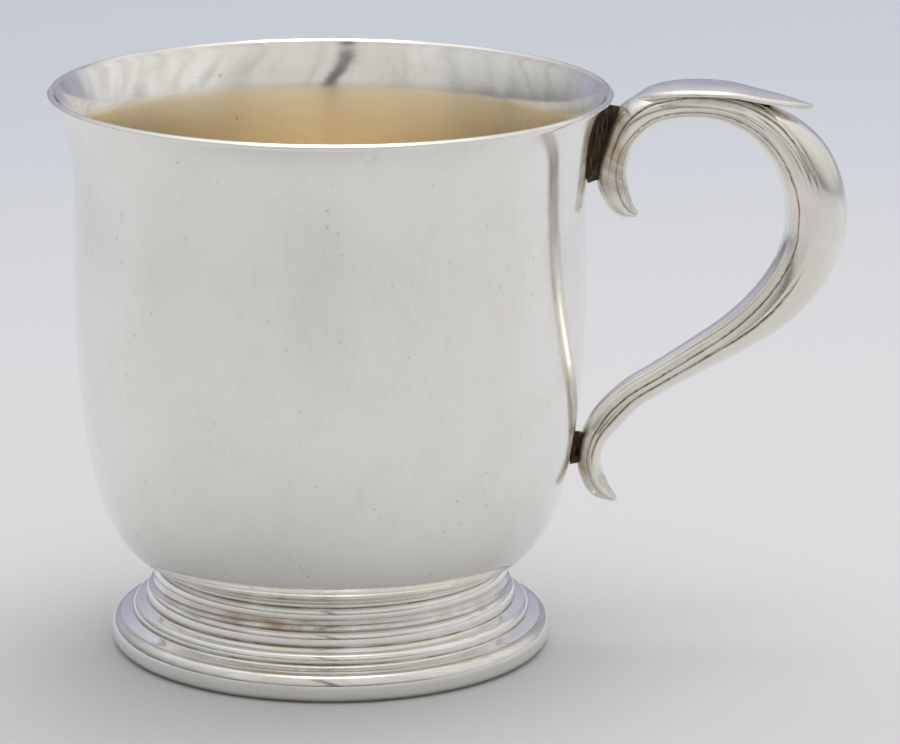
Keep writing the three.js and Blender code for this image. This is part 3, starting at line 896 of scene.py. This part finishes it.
PIECES = [
    (make_bowl(), "bowl", "bowl_silver"),
    (make_lip(), "rim_wire", "bowl_silver"),
    (make_collar(), "foot_collar", "foot_silver"),
    (make_shell(), "foot_shell", "foot_silver"),
    (make_foot_bead(), "foot_wire", "foot_silver"),
    (make_handle(), "handle", "handle_silver"),
    (make_leaf(), "thumb_leaf", "handle_silver"),
    (make_solder("upper_solder", "upper_seat", 0.16, 0.34), "upper_seat", "seat_solder"),
    (make_solder("lower_solder", "lower_seat", 0.1, 0.16), "lower_seat", "seat_solder"),
]
for piece, node, slot in PIECES:
    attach(piece, "root")
    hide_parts(node)


# Stage


def make_card(name, corners, material):
    mesh = bpy.data.meshes.new(name)
    mesh.from_pydata(corners, [], [tuple(range(len(corners)))])
    mesh.materials.append(material)
    card = bpy.data.objects.new(name, mesh)
    bpy.context.collection.objects.link(card)
    return card


# Painted shade: the floor colour in front of the cup, greyer than beside it.
FLOOR_FRONT_PAINTED_SHADE = rgb(0.585, 0.585, 0.595)
FLOOR_BESIDE = rgb(0.61, 0.612, 0.63)
FLOOR_FAR = rgb(0.455, 0.485, 0.545)
FLOOR_GRAIN = rgb(0.46, 0.47, 0.5)
FLOOR_REACH = 2.6


def floor_material():
    """Matt pale paper, with painted shade that makes it greyer in front of the cup, and darker and bluer far
    behind it.
    """
    material, nodes = new_material("table_paper")
    coords = nodes.add("ShaderNodeTexCoord", output=3)
    depth = nodes.add("ShaderNodeSeparateXYZ", {"Vector": coords}, output=1)
    # Painted shade: the floor turns greyer in front of the cup, standing in for the cup's soft shadow there.
    base = nodes.mix(nodes.ramp(depth, -0.045, 0.03), FLOOR_FRONT_PAINTED_SHADE, FLOOR_BESIDE)
    base = nodes.mix(nodes.ramp(depth, 0.0, 0.5), base, FLOOR_FAR)
    grain = noise_at(nodes, coords, 900.0, 3.0)
    base = nodes.mix(nodes.ramp(grain, 0.3, 0.7, 0.0, 0.05), base, FLOOR_GRAIN)
    normal = nodes.add("ShaderNodeBump", {"Strength": 0.15, "Distance": 0.0001, "Height": grain})
    inputs = {"Base Color": base, "Roughness": 0.85, "Specular IOR Level": 0.1, "Normal": normal}
    shader = nodes.add("ShaderNodeBsdfPrincipled", inputs)
    nodes.add("ShaderNodeOutputMaterial", {"Surface": shader})
    return material


table_corners = [(x * FLOOR_REACH, y * FLOOR_REACH, 0) for x, y in ((-1, -1), (1, -1), (1, 1), (-1, 1))]
make_card("table", table_corners, floor_material())

# The shade: colour, nearest and farthest reach from the cup, half width and height.
SHADE_COLOR = rgb(0.16, 0.15, 0.14)
SHADE_NEAR = -0.05
SHADE_FAR = -1.6
SHADE_HALF_WIDTH = 0.6
SHADE_HEIGHT = 0.002


def shade_material():
    """Darker wedge of table under the camera, seen only in the silver.

    It fades out toward the cup, and to both sides by the ratio of aside to ahead."""
    material, nodes = new_material("camera_shade")
    coords = nodes.add("ShaderNodeTexCoord", output=3)
    axes = nodes.add("ShaderNodeSeparateXYZ", {"Vector": coords}, output=None)
    ahead = axes.outputs[1]
    spread = nodes.math("DIVIDE", nodes.math("SUBTRACT", axes.outputs[0], AXIS_X * MM), ahead)
    aside = nodes.math("ABSOLUTE", nodes.math("SUBTRACT", spread, 0.1))
    depth = nodes.ramp(ahead, -0.24, -0.13, 0.075, 0.0)
    cover = nodes.math("MULTIPLY", depth, nodes.ramp(aside, 0.05, 0.4, 1.0, 0.0))
    clear = nodes.add("ShaderNodeBsdfTransparent")
    dark = nodes.add("ShaderNodeEmission", {"Color": SHADE_COLOR, "Strength": 1.0})
    mixed = nodes.add("ShaderNodeMixShader", {0: cover, 1: clear, 2: dark})
    nodes.add("ShaderNodeOutputMaterial", {"Surface": mixed})
    return material


shade_corners = [
    (-SHADE_HALF_WIDTH, SHADE_FAR, SHADE_HEIGHT),
    (SHADE_HALF_WIDTH, SHADE_FAR, SHADE_HEIGHT),
    (SHADE_HALF_WIDTH, SHADE_NEAR, SHADE_HEIGHT),
    (-SHADE_HALF_WIDTH, SHADE_NEAR, SHADE_HEIGHT),
]
shade = make_card("camera_shade", shade_corners, shade_material())
shade.visible_camera = False
shade.visible_shadow = False
shade.visible_diffuse = False

# World: a pale tent, dark near the ground in front and to the west, lighter to the
# east, bluish behind and brightest overhead, with faint upright folds and a leaning
# dark figure where the camera looks in. The camera itself sees a plain pale blue.
world = bpy.data.worlds.new("tent")
bpy.context.scene.world = world
world.use_nodes = True
sky = Nodes(world.node_tree)
direction = sky.add("ShaderNodeTexCoord", output=0)
parts = sky.add("ShaderNodeSeparateXYZ", {"Vector": direction}, output=None)
east, north, up = parts.outputs
flat = sky.add("ShaderNodeCombineXYZ", {0: east, 1: north, 2: 0.0})
level = sky.add("ShaderNodeVectorMath", {0: flat}, operation="NORMALIZE")
facing = sky.add("ShaderNodeSeparateXYZ", {"Vector": level}, output=1)


def climb(stops):
    """Colour by the sine of the elevation."""
    node = sky.add("ShaderNodeValToRGB", {0: up}, output=None)
    elements = node.color_ramp.elements
    while len(elements) < len(stops):
        elements.new(0.5)
    for element, (place, color) in zip(elements, stops):
        element.position = place
        element.color = color
    return node.outputs[0]


OVERHEAD = rgb(1.1, 1.09, 1.07)
ZENITH = rgb(3.2, 3.15, 3.05)
FOLD_GREY = rgb(0.12, 0.115, 0.11)
FIGURE_GREY = rgb(0.08, 0.075, 0.07)
BACKDROP_BLUE = rgb(0.56, 0.6, 0.66)
TOP_STOPS = [(0.88, OVERHEAD), (0.945, OVERHEAD), (0.965, ZENITH)]
front_wall = climb([
    (0.0, rgb(0.07, 0.065, 0.06)), (0.06, rgb(0.15, 0.145, 0.14)), (0.17, rgb(0.54, 0.53, 0.51)),
    (0.33, rgb(0.68, 0.67, 0.65)), (0.83, rgb(0.74, 0.73, 0.71)), (0.9, OVERHEAD), (0.965, ZENITH),
])
west_wall = climb([
    (0.0, rgb(0.08, 0.08, 0.08)), (0.1, rgb(0.25, 0.25, 0.26)), (0.3, rgb(0.5, 0.5, 0.5)),
    (0.6, rgb(0.68, 0.68, 0.68)), (0.8, rgb(0.85, 0.85, 0.84)), *TOP_STOPS,
])
east_wall = climb([
    (0.0, rgb(0.45, 0.45, 0.46)), (0.06, rgb(0.55, 0.55, 0.56)), (0.15, rgb(0.7, 0.7, 0.7)),
    (0.35, rgb(0.84, 0.83, 0.82)), (0.8, rgb(0.92, 0.91, 0.89)), *TOP_STOPS,
])
back_wall = climb([
    (0.0, rgb(0.34, 0.34, 0.43)), (0.15, rgb(0.42, 0.425, 0.54)), (0.3, rgb(0.48, 0.485, 0.59)),
    (0.5, rgb(0.6, 0.605, 0.68)), (0.75, rgb(0.82, 0.82, 0.84)), *TOP_STOPS,
])
side_wall = sky.mix(sky.ramp(east, -0.25, 0.25), west_wall, east_wall)
tent = sky.mix(sky.ramp(facing, -0.9, -0.25), front_wall, side_wall)
tent = sky.mix(sky.ramp(facing, 0.55, 0.93), tent, back_wall)
sway = sky.add("ShaderNodeCombineXYZ", {0: sky.math("MULTIPLY", up, 0.22), 1: 0.0, 2: 0.0})
swayed = sky.add("ShaderNodeVectorMath", {0: level, 1: sway})
streak = noise_at(sky, swayed, 5.0, 4.0, 0.6)
folds = noise_at(sky, swayed, 14.0, 2.0, 0.5)
shading = sky.math("ADD", sky.ramp(streak, 0.48, 0.62, 0.0, 0.4), sky.ramp(folds, 0.5, 0.62, 0.0, 0.12))
tent = sky.mix(shading, tent, sky.mix(0.5, tent, FOLD_GREY))
ragged = noise_at(sky, direction, 7.0, 3.0)
lean = sky.math("ADD", east, sky.math("MULTIPLY", sky.math("SUBTRACT", ragged, 0.5), 0.035))
offside = sky.math("ABSOLUTE", sky.math("ADD", lean, sky.ramp(up, 0.15, 0.75, -0.02, 0.1)))
figure = sky.math("MULTIPLY", sky.ramp(offside, 0.02, 0.075, 1.0, 0.0), sky.ramp(north, -0.4, -0.3, 1.0, 0.0))
figure = sky.math("MULTIPLY", figure, sky.ramp(up, 0.74, 0.86, 1.0, 0.0))
tent = sky.mix(sky.math("MULTIPLY", figure, 0.85), tent, FIGURE_GREY)
paths = sky.add("ShaderNodeLightPath", output=None)
seen = sky.mix(paths.outputs["Is Camera Ray"], tent, BACKDROP_BLUE)
background = sky.add("ShaderNodeBackground", {"Color": seen, "Strength": 1.0})
sky.add("ShaderNodeOutputWorld", {"Surface": background})

# One soft lamp behind the cup and to its right, for the floor's soft shadow.
LAMP_SIZE = 0.8
LAMP_POWER = 3.0
LAMP_COLOR = (1.0, 0.98, 0.95)
LAMP_PLACE = (0.22, 0.42, 0.85)
LAMP_TURN = (-0.46, 0.22, 0.0)

light = bpy.data.lights.new("overhead", "AREA")
light.shape = "RECTANGLE"
light.size, light.size_y = LAMP_SIZE, LAMP_SIZE
light.energy = LAMP_POWER
light.color = LAMP_COLOR
lamp = bpy.data.objects.new("overhead", light)
lamp.location = LAMP_PLACE
lamp.rotation_euler = LAMP_TURN
lamp.visible_glossy = False
bpy.context.collection.objects.link(lamp)

# Camera, fitted to the ellipses of the lip and the foot in the photograph.
CAMERA_OFFSET = (0.0, -0.599605, 0.191481)
CAMERA_PITCH = 0.251756
CAMERA_YAW = 0.026731
CAMERA_ROLL = 0.0068
LENS = 184.0

pitch, yaw, roll = CAMERA_PITCH, CAMERA_YAW, CAMERA_ROLL
forward = Vector((math.sin(yaw) * math.cos(pitch), math.cos(yaw) * math.cos(pitch), -math.sin(pitch)))
right = Vector((math.cos(yaw), -math.sin(yaw), 0.0))
upward = right.cross(forward)
turned_right = right * math.cos(roll) + upward * math.sin(roll)
turned_up = upward * math.cos(roll) - right * math.sin(roll)
camera_data = bpy.data.cameras.new("camera")
camera_data.sensor_width = 36.0
camera_data.lens = LENS
camera_data.clip_start = 0.05
camera_data.clip_end = 20.0
camera = bpy.data.objects.new("camera", camera_data)
basis = Matrix((turned_right, turned_up, -forward)).transposed().to_4x4()
place = Vector((AXIS_X * MM + CAMERA_OFFSET[0], CAMERA_OFFSET[1], CAMERA_OFFSET[2]))
camera.matrix_world = Matrix.Translation(place) @ basis
bpy.context.collection.objects.link(camera)
bpy.context.scene.camera = camera
bpy.context.scene.view_settings.view_transform = "Standard"
